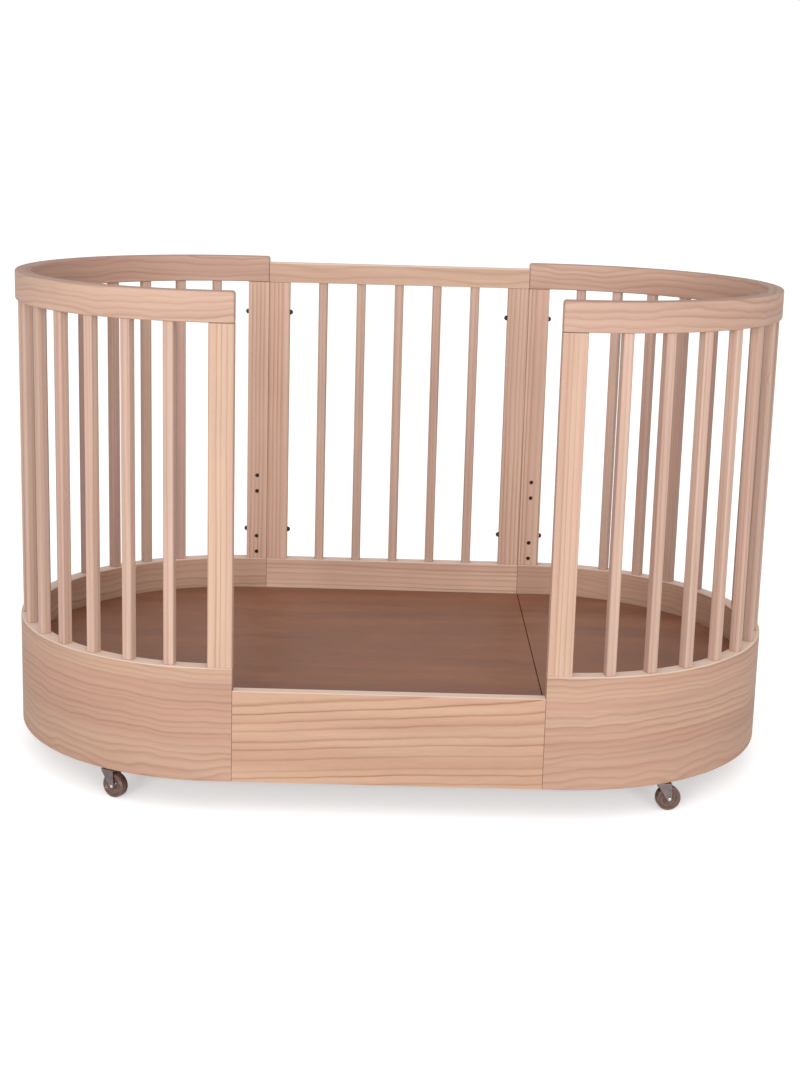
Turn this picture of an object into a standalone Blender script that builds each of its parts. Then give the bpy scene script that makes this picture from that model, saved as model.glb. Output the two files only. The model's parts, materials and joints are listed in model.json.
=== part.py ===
"""Oval pine cot with one long side taken off, on four small swivel casters.

Frame: metres, +Z up, floor at z = 0, origin under the middle of the cot.
+X runs along the cot to the right, +Y from the open front to the rear panel.
"""
import math

import bmesh
import bpy
from mathutils import Matrix, Vector

# Overall plan: a straight middle and two half-round ends.
LENGTH = 1.330
END_RADIUS = 0.3785
END_CENTRE_X = LENGTH / 2 - END_RADIUS
SEAM_X = 0.254
ARC_STEPS = 40

# Stock and heights.
STOCK = 0.027
CASTER_HEIGHT = 0.051
SKIRT_HEIGHT = 0.193
POST_HEIGHT = 0.556
RAIL_HEIGHT = 0.049
PANEL_RAIL_HEIGHT = 0.038
FRONT_BOARD_HEIGHT = 0.155
FRONT_BOARD_THICK = 0.020
SKIRT_BOTTOM = CASTER_HEIGHT
SKIRT_TOP = SKIRT_BOTTOM + SKIRT_HEIGHT
RAIL_BOTTOM = SKIRT_TOP + POST_HEIGHT
GAP = 0.0003
SOFT_EDGE = 0.003

# Posts, stiles and slats.
POST_WIDTH = 0.040
SLAT_WIDTH = 0.0175
SLAT_DEPTH = 0.018
SLAT_EDGE = 0.003
END_SLATS = 15
PANEL_SLATS = 5
TENON_LENGTH = 0.012
TENON_SHOULDER = 0.0045
TENON_FIT = 0.0003

# Bolts through neighbouring posts, and the threaded sockets for the base.
BOLT_RADIUS = 0.0033
BOLT_INSET = 0.059
SOCKET_RADIUS = 0.004
SOCKET_DEPTH = 0.018
SOCKET_PAIR = 0.032
BASE_STEP = 0.1243
BASE_LEVELS = 3
HOLE_SIDES = 12
DRILL_OVERRUN = 0.005
MERGE = 0.00001

# Base: a board in two lengths, on two beams.
BOARD_THICK = 0.010
BEAM_HEIGHT = 0.050
BEAM_WIDTH = 0.046
BEAM_X = 0.274
BASE_TOP = 0.185
BASE_CLEARANCE = 0.004
BEAM_CLEARANCE = 0.002
BOARD_SEAM_GAP = 0.0015

# Casters.
STEM_ANGLE = math.radians(28.4)
STEM_RADIUS = 0.004
STEM_HOLE_RADIUS = 0.0043
STEM_LENGTH = 0.030
WHEEL_RADIUS = 0.021
WHEEL_WIDTH = 0.016
WHEEL_SIDES = 24
WHEEL_SHOULDER = 0.0025
WHEEL_DISH = 0.002
HUB_RADIUS = 0.006
HUB_PROUD = 0.0008
BORE_RADIUS = 0.0023
AXLE_RADIUS = 0.0020
TRAIL = 0.010
LEG_THICK = 0.002
LEG_OFFSET = 0.0095
LEG_TOP_WIDTH = 0.022
LEG_FOOT_RADIUS = 0.0045
LEG_FOOT_START = math.radians(200)
LEG_FOOT_STEPS = 6
BRIDGE_THICK = 0.0025
COLLAR_RADIUS = 0.010
COLLAR_HEIGHT = 0.002
COLLAR_SIDES = 20
SHARP_ANGLE = math.radians(40)
CASTER_PLACES = (
    ("front_left", -1, -1, math.radians(-29)),
    ("front_right", 1, -1, math.radians(8)),
    ("rear_left", -1, 1, math.radians(20)),
    ("rear_right", 1, 1, math.radians(-28)),
)

# A facet of the wheel lies flat on the floor.
AXLE_HEIGHT = WHEEL_RADIUS * math.cos(math.pi / WHEEL_SIDES)
MID_RADIUS = END_RADIUS - STOCK / 2
END_STRAIGHT = END_CENTRE_X - SEAM_X
END_PATH = 2 * END_STRAIGHT + math.pi * MID_RADIUS


def clear_scene():
    for item in list(bpy.data.objects):
        bpy.data.objects.remove(item, do_unlink=True)


def make_material(name, colour, roughness, metallic=0.0):
    material = bpy.data.materials.new(name)
    material.use_nodes = True
    shader = material.node_tree.nodes["Principled BSDF"]
    shader.inputs["Base Color"].default_value = (*colour, 1.0)
    shader.inputs["Roughness"].default_value = roughness
    shader.inputs["Metallic"].default_value = metallic
    return material


def mesh_from(bm, name):
    bmesh.ops.recalc_face_normals(bm, faces=bm.faces)
    mesh = bpy.data.meshes.new(name)
    bm.to_mesh(mesh)
    bm.free()
    return mesh


def add_object(name, mesh, material=None, place=(0, 0, 0), turn=0.0, parent=None):
    item = bpy.data.objects.new(name, mesh)
    bpy.context.scene.collection.objects.link(item)
    item.location = place
    item.rotation_euler = (0, 0, turn)
    item.parent = parent
    if material is not None:
        item.data.materials.append(material)
    return item


def add_part(name, mesh, colour, roughness=0.55, metallic=0.0, **placing):
    """A visible sub-part with its own mesh and its own material."""
    own_mesh = mesh.copy()
    own_mesh.name = name
    material = make_material(name, colour, roughness, metallic)
    return add_object(name, own_mesh, material, **placing)


def add_empty(name, place):
    empty = bpy.data.objects.new(name, None)
    bpy.context.scene.collection.objects.link(empty)
    empty.location = place
    return empty


def box(bm, low, high):
    """A closed box between two corners, added to bm; returns its vertices."""
    low = Vector(low)
    high = Vector(high)
    grown = bmesh.ops.create_cube(bm, size=1.0)["verts"]
    bmesh.ops.scale(bm, vec=high - low, verts=grown)
    bmesh.ops.translate(bm, vec=(low + high) / 2, verts=grown)
    return grown


def cylinder(bm, start, axis, length, radius, sides=HOLE_SIDES):
    """A closed cylinder from start along axis, added to bm."""
    axis = Vector(axis)
    turn = axis.to_track_quat("Z", "Y").to_matrix().to_4x4()
    place = Matrix.Translation(Vector(start) + axis * length / 2) @ turn
    bmesh.ops.create_cone(
        bm, cap_ends=True, segments=sides, radius1=radius, radius2=radius,
        depth=length, matrix=place)


def combine(mesh, operation, tools):
    """Join or cut mesh with each tool mesh in turn; returns the finished mesh."""
    body = add_object("work", mesh)
    for index, tool in enumerate(tools):
        helper = add_object("tool_%d" % index, tool)
        helper.hide_render = True
        helper.display_type = "WIRE"
        modifier = body.modifiers.new("tool_%d" % index, "BOOLEAN")
        modifier.operation = operation
        modifier.solver = "EXACT"
        modifier.object = helper
    graph = bpy.context.evaluated_depsgraph_get()
    result = bpy.data.meshes.new_from_object(body.evaluated_get(graph))
    for item in [body] + [m.object for m in body.modifiers]:
        bpy.data.objects.remove(item, do_unlink=True)
    return result


def chamfered_edges(bm, edges, width):
    bmesh.ops.bevel(
        bm, geom=edges, offset=width, offset_type="OFFSET", affect="EDGES",
        segments=1, profile=0.5, material=-1)


def drop_if_inside(bm, face):
    """Delete a face that walls stand on from both sides."""
    if face.is_valid and any(len(edge.link_faces) > 2 for edge in face.edges):
        bmesh.ops.delete(bm, geom=[face], context="FACES_ONLY")


def moved_face(bm, face, step):
    """Extrude one face by step and return the face at the far end."""
    grown = bmesh.ops.extrude_face_region(bm, geom=[face])["geom"]
    verts = [g for g in grown if isinstance(g, bmesh.types.BMVert)]
    bmesh.ops.translate(bm, vec=step, verts=verts)
    drop_if_inside(bm, face)
    return next(g for g in grown if isinstance(g, bmesh.types.BMFace))


# ---------------------------------------------------------------- end units
# An end unit is modelled for the right-hand end about that end's centre.
# The left-hand one is the same unit turned half round.

def end_place(distance, inset):
    """Point and outward angle on the end's plan, distance along its mid line."""
    radius = END_RADIUS - inset
    if distance < END_STRAIGHT:
        return Vector((distance - END_STRAIGHT, -radius, 0)), 0.0
    turn = min((distance - END_STRAIGHT) / MID_RADIUS, math.pi)
    point = Vector((radius * math.sin(turn), -radius * math.cos(turn), 0))
    if turn == math.pi:
        point.x = -(distance - END_STRAIGHT - math.pi * MID_RADIUS)
    return point, turn


def end_sweep(profile):
    """Sweep a profile of (inset, height) points round the half-round end."""
    bm = bmesh.new()
    verts = [bm.verts.new((-END_STRAIGHT, inset - END_RADIUS, z)) for inset, z in profile]
    face = bm.faces.new(verts)
    front = moved_face(bm, face, (END_STRAIGHT, 0, 0))
    turned = bmesh.ops.spin(
        bm, geom=[front], cent=(0, 0, 0), axis=(0, 0, 1), angle=math.pi, steps=ARC_STEPS)
    rear = next(g for g in turned["geom_last"] if isinstance(g, bmesh.types.BMFace))
    drop_if_inside(bm, front)
    moved_face(bm, rear, (-END_STRAIGHT, 0, 0))
    bmesh.ops.remove_doubles(bm, verts=bm.verts, dist=MERGE)
    return mesh_from(bm, "end_sweep")


def softened_profile(bottom, top, soft_bottom):
    """Cross-section of stock with its long edges broken."""
    lower = SOFT_EDGE if soft_bottom else 0.0
    points = [(lower, bottom), (STOCK - lower, bottom)]
    if soft_bottom:
        points.append((STOCK, bottom + lower))
    points.append((STOCK, top - SOFT_EDGE))
    points.append((STOCK - SOFT_EDGE, top))
    points.append((SOFT_EDGE, top))
    points.append((0.0, top - SOFT_EDGE))
    if soft_bottom:
        points.append((0.0, bottom + lower))
    return points


def end_slat_places():
    """Distances of the end slats along the mid line, with equal gaps."""
    free = END_PATH - 2 * POST_WIDTH - END_SLATS * SLAT_WIDTH
    gap = free / (END_SLATS + 1)
    first = POST_WIDTH + gap + SLAT_WIDTH / 2
    return [first + index * (gap + SLAT_WIDTH) for index in range(END_SLATS)]


def tenon_mortise(bm, point, turn, width, depth):
    """A tall box that cuts the mortises over and under one upright."""
    half_width = width / 2 - TENON_SHOULDER + TENON_FIT
    half_depth = depth / 2 - TENON_SHOULDER + TENON_FIT
    reach = TENON_LENGTH + TENON_FIT
    verts = box(
        bm, (-half_width, -half_depth, SKIRT_TOP - reach),
        (half_width, half_depth, RAIL_BOTTOM + reach))
    bmesh.ops.transform(bm, matrix=Matrix.Translation(point) @ Matrix.Rotation(turn, 4, "Z"), verts=verts)


def end_mortises():
    bm = bmesh.new()
    for distance in end_slat_places():
        point, turn = end_place(distance, STOCK / 2)
        tenon_mortise(bm, point, turn, SLAT_WIDTH, SLAT_DEPTH)
    for distance in (POST_WIDTH / 2, END_PATH - POST_WIDTH / 2):
        point, turn = end_place(distance, STOCK / 2)
        point.x = POST_WIDTH / 2 - END_STRAIGHT
        tenon_mortise(bm, point, turn, POST_WIDTH, STOCK)
    return mesh_from(bm, "end_mortises")


def stem_holes():
    bm = bmesh.new()
    for side in (-1, 1):
        x = MID_RADIUS * math.sin(STEM_ANGLE)
        y = side * MID_RADIUS * math.cos(STEM_ANGLE)
        reach = STEM_LENGTH + COLLAR_HEIGHT
        start = (x, y, SKIRT_BOTTOM - DRILL_OVERRUN)
        cylinder(bm, start, (0, 0, 1), reach + DRILL_OVERRUN, STEM_HOLE_RADIUS)
    return mesh_from(bm, "stem_holes")


def level_heights():
    """Middle height of each pair of sockets, lowest level first."""
    lowest = BASE_TOP - BOARD_THICK - BEAM_HEIGHT / 2
    return [lowest + level * BASE_STEP for level in range(BASE_LEVELS)]


def socket_pair(bm, face_point, direction, height):
    """Two blind sockets, one over the other, drilled along direction."""
    for offset in (-SOCKET_PAIR / 2, SOCKET_PAIR / 2):
        start = Vector(face_point) - Vector(direction) * DRILL_OVERRUN
        start.z = height + offset
        cylinder(bm, start, direction, SOCKET_DEPTH + DRILL_OVERRUN, SOCKET_RADIUS)


def skirt_sockets():
    bm = bmesh.new()
    for side in (-1, 1):
        face_y = side * (END_RADIUS - STOCK)
        x = POST_WIDTH / 2 - END_STRAIGHT
        socket_pair(bm, (x, face_y, 0), (0, side, 0), level_heights()[0])
    return mesh_from(bm, "skirt_sockets")


def upright(width, depth, edge):
    """A post or slat with chamfered long edges and a tenon at each end.

    Its origin is at its foot, on its centre line.
    """
    length = POST_HEIGHT - 2 * GAP
    bm = bmesh.new()
    box(bm, (-width / 2, -depth / 2, GAP), (width / 2, depth / 2, GAP + length))
    bm.edges.ensure_lookup_table()
    standing = [e for e in bm.edges if abs(e.verts[0].co.z - e.verts[1].co.z) > length / 2]
    chamfered_edges(bm, standing, edge)
    for upward in (-1, 1):
        cap = max(bm.faces, key=lambda f: upward * f.calc_center_median().z)
        bmesh.ops.inset_region(bm, faces=[cap], thickness=TENON_SHOULDER, use_even_offset=True)
        moved_face(bm, cap, (0, 0, upward * TENON_LENGTH))
    return mesh_from(bm, "upright")


def post_bolt_holes():
    """Cross holes for the bolts that clamp neighbouring posts together."""
    bm = bmesh.new()
    for height in (BOLT_INSET, POST_HEIGHT - BOLT_INSET):
        cylinder(bm, (-POST_WIDTH, 0, height), (1, 0, 0), 2 * POST_WIDTH, BOLT_RADIUS)
    return mesh_from(bm, "bolt_holes")


def post_sockets():
    """Upper sockets for the base, on the post's inner side at -Y."""
    bm = bmesh.new()
    for height in level_heights()[1:]:
        socket_pair(bm, (0, -STOCK / 2, 0), (0, 1, 0), height - SKIRT_TOP)
    return mesh_from(bm, "post_sockets")


def build_end_units():
    rail_mesh = end_sweep(softened_profile(RAIL_BOTTOM, RAIL_BOTTOM + RAIL_HEIGHT, True))
    skirt_mesh = end_sweep(softened_profile(SKIRT_BOTTOM, SKIRT_TOP, False))
    rail_mesh = combine(rail_mesh, "DIFFERENCE", [end_mortises()])
    skirt_mesh = combine(
        skirt_mesh, "DIFFERENCE", [end_mortises(), stem_holes(), skirt_sockets()])
    slat_mesh = upright(SLAT_WIDTH, SLAT_DEPTH, SLAT_EDGE)
    post_mesh = combine(
        upright(POST_WIDTH, STOCK, SOFT_EDGE), "DIFFERENCE", [post_bolt_holes(), post_sockets()])
    for name, side in (("left", -1), ("right", 1)):
        half_turn = 0.0 if side > 0 else math.pi
        centre = Vector((side * END_CENTRE_X, 0, 0))
        add_part(name + "_end_top_rail", rail_mesh, (0.62, 0.40, 0.27), place=centre, turn=half_turn)
        add_part(name + "_end_skirt", skirt_mesh, (0.55, 0.34, 0.23), place=centre, turn=half_turn)
        for row, row_side in (("front", -1), ("rear", 1)):
            place = (side * (SEAM_X + GAP / 2 + POST_WIDTH / 2), row_side * MID_RADIUS, SKIRT_TOP)
            turn = 0.0 if row_side > 0 else math.pi
            add_part("%s_%s_post" % (name, row), post_mesh, (0.74, 0.50, 0.36), place=place, turn=turn)
        for index, distance in enumerate(end_slat_places()):
            point, turn = end_place(distance, STOCK / 2)
            place = centre + side * point + Vector((0, 0, SKIRT_TOP))
            add_part(
                "%s_end_slat_%02d" % (name, index + 1), slat_mesh, (0.66, 0.43, 0.30),
                place=place, turn=turn + half_turn)


# --------------------------------------------------------------- rear panel

def panel_width():
    return 2 * SEAM_X - 2 * GAP


def panel_slat_places():
    free = 2 * SEAM_X - 2 * POST_WIDTH - PANEL_SLATS * SLAT_WIDTH
    gap = free / (PANEL_SLATS + 1)
    pitch = gap + SLAT_WIDTH
    return [(index - (PANEL_SLATS - 1) / 2) * pitch for index in range(PANEL_SLATS)]


def panel_bar(bottom, top):
    """Straight rail of the rear panel, with its top edges broken."""
    bm = bmesh.new()
    half = panel_width() / 2
    box(bm, (-half, -STOCK / 2, bottom), (half, STOCK / 2, top))
    upper = [e for e in bm.edges if all(v.co.z > top - GAP for v in e.verts)]
    long_edges = [e for e in upper if abs(e.verts[0].co.x - e.verts[1].co.x) > half]
    chamfered_edges(bm, long_edges, SOFT_EDGE)
    return mesh_from(bm, "panel_bar")


def panel_mortises():
    bm = bmesh.new()
    for x in panel_slat_places():
        tenon_mortise(bm, Vector((x, 0, 0)), 0.0, SLAT_WIDTH, SLAT_DEPTH)
    for side in (-1, 1):
        x = side * (SEAM_X - GAP - POST_WIDTH / 2)
        tenon_mortise(bm, Vector((x, 0, 0)), 0.0, POST_WIDTH, STOCK)
    return mesh_from(bm, "panel_mortises")


def build_rear_panel():
    place = (0, MID_RADIUS, 0)
    top_bar = panel_bar(RAIL_BOTTOM, RAIL_BOTTOM + PANEL_RAIL_HEIGHT)
    top_bar = combine(top_bar, "DIFFERENCE", [panel_mortises()])
    bottom_bar = panel_bar(SKIRT_BOTTOM, SKIRT_TOP)
    bottom_bar = combine(bottom_bar, "DIFFERENCE", [panel_mortises()])
    add_part("rear_panel_top_rail", top_bar, (0.65, 0.45, 0.29), place=place)
    add_part("rear_panel_bottom_rail", bottom_bar, (0.58, 0.39, 0.28), place=place)
    stile = combine(upright(POST_WIDTH, STOCK, SOFT_EDGE), "DIFFERENCE", [post_bolt_holes()])
    for name, side in (("left", -1), ("right", 1)):
        x = side * (SEAM_X - GAP - POST_WIDTH / 2)
        add_part(
            "rear_panel_%s_stile" % name, stile, (0.62, 0.41, 0.29),
            place=(x, MID_RADIUS, SKIRT_TOP))
    slat = upright(SLAT_WIDTH, SLAT_DEPTH, SLAT_EDGE)
    for index, x in enumerate(panel_slat_places()):
        add_part(
            "rear_panel_slat_%d" % (index + 1), slat, (0.60, 0.40, 0.30),
            place=(x, MID_RADIUS, SKIRT_TOP))


# -------------------------------------------------------------- front board

def build_front_board():
    bm = bmesh.new()
    half = panel_width() / 2
    low = (-half, -FRONT_BOARD_THICK / 2, 0)
    high = (half, FRONT_BOARD_THICK / 2, FRONT_BOARD_HEIGHT)
    box(bm, low, high)
    upper = [e for e in bm.edges if all(v.co.z > FRONT_BOARD_HEIGHT / 2 for v in e.verts)]
    long_edges = [e for e in upper if abs(e.verts[0].co.x - e.verts[1].co.x) > half]
    chamfered_edges(bm, long_edges, SOFT_EDGE / 2)
    place = (0, -END_RADIUS + FRONT_BOARD_THICK / 2, SKIRT_BOTTOM)
    add_part("front_low_board", mesh_from(bm, "front_board"), (0.66, 0.44, 0.28), place=place)


# --------------------------------------------------------------------- base

def rounded_board(straight):
    """Board outline: straight from its seam, then half round. Seam at x = 0."""
    radius = END_RADIUS - STOCK - BASE_CLEARANCE
    bm = bmesh.new()
    disc = bmesh.ops.create_circle(
        bm, cap_ends=True, segments=2 * ARC_STEPS, radius=radius)["verts"]
    bmesh.ops.translate(bm, vec=(straight, 0, 0), verts=disc)
    bmesh.ops.bisect_plane(
        bm, geom=bm.verts[:] + bm.edges[:] + bm.faces[:], plane_co=(straight, 0, 0),
        plane_no=(-1, 0, 0), clear_outer=True)
    cut = [e for e in bm.edges if all(abs(v.co.x - straight) < MERGE for v in e.verts)]
    grown = bmesh.ops.extrude_edge_only(bm, edges=cut)["geom"]
    seam = [g for g in grown if isinstance(g, bmesh.types.BMVert)]
    bmesh.ops.translate(bm, vec=(-straight, 0, 0), verts=seam)
    grown = bmesh.ops.extrude_face_region(bm, geom=bm.faces[:])["geom"]
    top = [g for g in grown if isinstance(g, bmesh.types.BMVert)]
    bmesh.ops.translate(bm, vec=(0, 0, BOARD_THICK), verts=top)
    bmesh.ops.remove_doubles(bm, verts=bm.verts, dist=MERGE)
    return mesh_from(bm, "rounded_board")


def build_base():
    """Boards and beams, which change height together."""
    board_bottom = BASE_TOP - BOARD_THICK
    holder = add_empty("base_height", (0, 0, board_bottom))
    bpy.context.view_layer.update()
    main = rounded_board(END_CENTRE_X + SEAM_X)
    right = rounded_board(END_STRAIGHT - BOARD_SEAM_GAP)
    add_part("base_board_main", main, (0.24, 0.115, 0.075), 0.5, place=(SEAM_X, 0, 0),
             turn=math.pi, parent=holder)
    add_part("base_board_right", right, (0.26, 0.12, 0.08), 0.5,
             place=(SEAM_X + BOARD_SEAM_GAP, 0, 0), parent=holder)
    bm = bmesh.new()
    reach = END_RADIUS - STOCK - BEAM_CLEARANCE
    box(bm, (-BEAM_WIDTH / 2, -reach, -BEAM_HEIGHT), (BEAM_WIDTH / 2, reach, -GAP))
    beam = mesh_from(bm, "beam")
    for name, side in (("left", -1), ("right", 1)):
        add_part("base_beam_" + name, beam, (0.60, 0.42, 0.28), place=(side * BEAM_X, 0, 0),
                 parent=holder)


# ------------------------------------------------------------------ casters
# A caster is modelled with its stem on Z, its axle along Y and its wheel
# trailing towards +X. Its origin is on the stem axis at the axle's height.

def fork_leg(side):
    """Side plate of the fork, wide at the top and round at the axle."""
    bridge_top = SKIRT_BOTTOM - GAP - COLLAR_HEIGHT - AXLE_HEIGHT
    bm = bmesh.new()
    y = side * LEG_OFFSET
    half = LEG_TOP_WIDTH / 2
    outline = [(-half, bridge_top), (-half, bridge_top - BRIDGE_THICK)]
    for step in range(LEG_FOOT_STEPS + 1):
        angle = LEG_FOOT_START + math.pi * step / LEG_FOOT_STEPS
        x = TRAIL + LEG_FOOT_RADIUS * math.cos(angle)
        outline.append((x, LEG_FOOT_RADIUS * math.sin(angle)))
    outline.append((half + LEG_THICK, bridge_top - BRIDGE_THICK))
    outline.append((half + LEG_THICK, bridge_top))
    face = bm.faces.new([bm.verts.new((x, y, z)) for x, z in outline])
    moved_face(bm, face, (0, side * LEG_THICK, 0))
    return mesh_from(bm, "fork_leg")


def fork_bridge():
    """Top plate of the fork, a little inside the legs' outer faces."""
    top = SKIRT_BOTTOM - GAP - COLLAR_HEIGHT - AXLE_HEIGHT
    reach = LEG_OFFSET + LEG_THICK / 2
    half = LEG_TOP_WIDTH / 2
    bm = bmesh.new()
    box(bm, (-half + GAP, -reach, top - BRIDGE_THICK + GAP), (half + LEG_THICK - GAP, reach, top - GAP))
    return mesh_from(bm, "fork_bridge")


def fork_collar():
    top = SKIRT_BOTTOM - GAP - AXLE_HEIGHT
    bm = bmesh.new()
    cylinder(bm, (0, 0, top - COLLAR_HEIGHT - BRIDGE_THICK / 2), (0, 0, 1),
             COLLAR_HEIGHT + BRIDGE_THICK / 2, COLLAR_RADIUS, COLLAR_SIDES)
    return mesh_from(bm, "fork_collar")


def fork_stem():
    top = SKIRT_BOTTOM - AXLE_HEIGHT
    bm = bmesh.new()
    cylinder(bm, (0, 0, top - COLLAR_HEIGHT), (0, 0, 1), STEM_LENGTH + COLLAR_HEIGHT, STEM_RADIUS)
    return mesh_from(bm, "fork_stem")


def fork_axle():
    reach = LEG_OFFSET + LEG_THICK + HUB_PROUD
    bm = bmesh.new()
    cylinder(bm, (TRAIL, -reach, 0), (0, 1, 0), 2 * reach, AXLE_RADIUS)
    return mesh_from(bm, "fork_axle")


def wheel():
    """Solid wheel turned about Y, with a dished side and a proud hub."""
    half = WHEEL_WIDTH / 2
    ring = [
        (BORE_RADIUS, -half - HUB_PROUD), (HUB_RADIUS, -half - HUB_PROUD),
        (HUB_RADIUS, WHEEL_DISH - half),
        (WHEEL_RADIUS - 2 * WHEEL_SHOULDER, WHEEL_DISH - half),
        (WHEEL_RADIUS - WHEEL_SHOULDER, -half), (WHEEL_RADIUS, WHEEL_SHOULDER - half),
    ]
    ring += [(radius, -y) for radius, y in reversed(ring)]
    bm = bmesh.new()
    face = bm.faces.new([bm.verts.new((radius, y, 0)) for radius, y in ring])
    bmesh.ops.rotate(
        bm, cent=(0, 0, 0), matrix=Matrix.Rotation(math.pi / WHEEL_SIDES, 3, "Y"), verts=bm.verts)
    edges = face.edges[:]
    bmesh.ops.delete(bm, geom=[face], context="FACES_ONLY")
    bmesh.ops.spin(
        bm, geom=edges, cent=(0, 0, 0), axis=(0, 1, 0), angle=2 * math.pi,
        steps=WHEEL_SIDES, use_merge=True)
    bmesh.ops.remove_doubles(bm, verts=bm.verts, dist=MERGE)
    return mesh_from(bm, "wheel")


def build_casters():
    fork_mesh = combine(
        fork_bridge(), "UNION",
        [fork_leg(-1), fork_leg(1), fork_collar(), fork_stem(), fork_axle()])
    wheel_mesh = wheel()
    wheel_mesh.shade_smooth()
    wheel_mesh.set_sharp_from_angle(angle=SHARP_ANGLE)
    for name, side, row_side, turn in CASTER_PLACES:
        x = side * (END_CENTRE_X + MID_RADIUS * math.sin(STEM_ANGLE))
        y = row_side * MID_RADIUS * math.cos(STEM_ANGLE)
        fork = add_part("caster_fork_" + name, fork_mesh, (0.30, 0.25, 0.24), 0.35, 0.7,
                        place=(x, y, AXLE_HEIGHT), turn=turn)
        add_part("caster_wheel_" + name, wheel_mesh, (0.05, 0.04, 0.04), 0.3,
                 place=(TRAIL, 0, 0), parent=fork)


def main():
    clear_scene()
    build_end_units()
    build_rear_panel()
    build_front_board()
    build_base()
    build_casters()


main()
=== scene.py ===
"""Finished pieces and finishes of an oval pine cot with one long side taken off.

Frame: metres, +Z up, floor at z = 0, origin under the middle of the cot.
+X runs along the cot to the right, +Y from the open front to the rear panel.
"""
import json
import math

import bmesh
import bpy
from bpy.props import FloatProperty, FloatVectorProperty, PointerProperty
from bpy.types import Operator, Panel, PropertyGroup
from mathutils import Matrix, Vector


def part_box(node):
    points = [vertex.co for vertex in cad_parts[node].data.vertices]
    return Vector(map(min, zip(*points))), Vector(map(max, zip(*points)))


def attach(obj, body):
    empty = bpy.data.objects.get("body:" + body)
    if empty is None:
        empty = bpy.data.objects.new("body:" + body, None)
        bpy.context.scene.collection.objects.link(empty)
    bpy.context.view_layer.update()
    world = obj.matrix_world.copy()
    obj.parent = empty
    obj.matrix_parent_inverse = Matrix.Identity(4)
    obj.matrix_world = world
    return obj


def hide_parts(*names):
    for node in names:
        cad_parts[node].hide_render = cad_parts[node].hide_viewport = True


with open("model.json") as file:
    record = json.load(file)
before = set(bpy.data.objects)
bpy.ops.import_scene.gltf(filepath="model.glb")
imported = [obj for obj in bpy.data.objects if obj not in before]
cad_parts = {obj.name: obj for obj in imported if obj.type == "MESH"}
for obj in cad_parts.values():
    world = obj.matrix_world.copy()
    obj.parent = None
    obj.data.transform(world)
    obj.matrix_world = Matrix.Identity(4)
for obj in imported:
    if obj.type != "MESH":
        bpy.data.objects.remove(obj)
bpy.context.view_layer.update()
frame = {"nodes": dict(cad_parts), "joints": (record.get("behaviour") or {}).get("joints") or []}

bl_info = {
    "name": "Oval Pine Cot",
    "version": (1, 0, 0),
    "blender": (4, 5, 0),
    "location": "3D View > Sidebar > Cot",
    "description": "Builds the finished pieces of an oval pine cot on casters",
    "category": "Add Mesh",
}

# ------------------------------------------------------------ driving sizes

SKIRT_LOW, SKIRT_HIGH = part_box("right_end_skirt")
RAIL_LOW, RAIL_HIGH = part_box("right_end_top_rail")
POST_LOW, POST_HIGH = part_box("right_rear_post")
SLAT_LOW, SLAT_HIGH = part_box("rear_panel_slat_1")

END_RADIUS = SKIRT_HIGH.y
END_CENTRE_X = SKIRT_HIGH.x - END_RADIUS
SEAM_X = SKIRT_LOW.x
END_STRAIGHT = END_CENTRE_X - SEAM_X
STOCK = POST_HIGH.y - POST_LOW.y
MID_RADIUS = END_RADIUS - STOCK / 2
POST_WIDTH = POST_HIGH.x - POST_LOW.x
SLAT_WIDTH = SLAT_HIGH.x - SLAT_LOW.x
SLAT_DEPTH = SLAT_HIGH.y - SLAT_LOW.y

GAP = 0.0003
MERGE = 0.00001
ARC_STEPS = 72
BOLT_INSET = 0.059
BOLT_HOLE_RADIUS = 0.0033
SOCKET_RADIUS = 0.004
SOCKET_DEPTH = 0.018
SOCKET_PAIR = 0.032
DRILL_REACH = 0.004
BASE_STEP = 0.1243
BASE_LEVELS = 3
HOLE_SIDES = 24
LOG_STEP = 2.3
SIDES = (("left", -1), ("right", 1))
ROWS = (("front", -1), ("rear", 1))
CORNERS = ("front_left", "front_right", "rear_left", "rear_right")


# ---------------------------------------------------------------- settings

def length_setting(label, text, value):
    return FloatProperty(
        name=label, description=text, default=value, min=0.0, subtype="DISTANCE", unit="LENGTH")


def colour_setting(label, text, value):
    return FloatVectorProperty(
        name=label, description=text, default=value, min=0.0, max=1.0, size=3, subtype="COLOR")


def share_setting(label, text, value):
    return FloatProperty(name=label, description=text, default=value, min=0.0, max=1.0, subtype="FACTOR")


class CotEdges(PropertyGroup):
    """How far each kind of edge is rounded."""
    rail: length_setting("Rail edge", "Radius along the edges of the top rails", 0.0026)
    rail_end: length_setting("Rail end", "Radius of the upper corners at a rail's ends", 0.0048)
    skirt: length_setting("Skirt edge", "Radius along the top edges of the low boards", 0.0022)
    seam: length_setting("Seam edge", "Radius where two boards meet", 0.0008)
    post: length_setting("Post edge", "Radius down the edges of the posts", 0.0010)
    slat: length_setting("Slat edge", "Radius down the edges of the slats", 0.0031)
    board: length_setting("Base edge", "Radius round the base boards", 0.0006)


class CotPine(PropertyGroup):
    """Colours of the pine, and of the highlight painted on its top edges."""
    early: colour_setting("Early wood", "Pale wood between the year lines", (0.560, 0.376, 0.284))
    late: colour_setting("Late wood", "Darker wood of the year lines", (0.305, 0.146, 0.083))
    blush: colour_setting("Blush", "Pinker stretches of the pale wood", (0.520, 0.322, 0.248))
    # Painted highlight: a lighter colour painted along the top edges, where light catches them.
    painted_highlight: colour_setting(
        "Sanded edge", "Lighter wood where the top edges are sanded", (0.880, 0.690, 0.570))
    knot: colour_setting("Knot", "Heart of a knot", (0.300, 0.130, 0.070))
    roughness: share_setting("Roughness", "Roughness of the sanded wood", 0.58)


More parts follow.
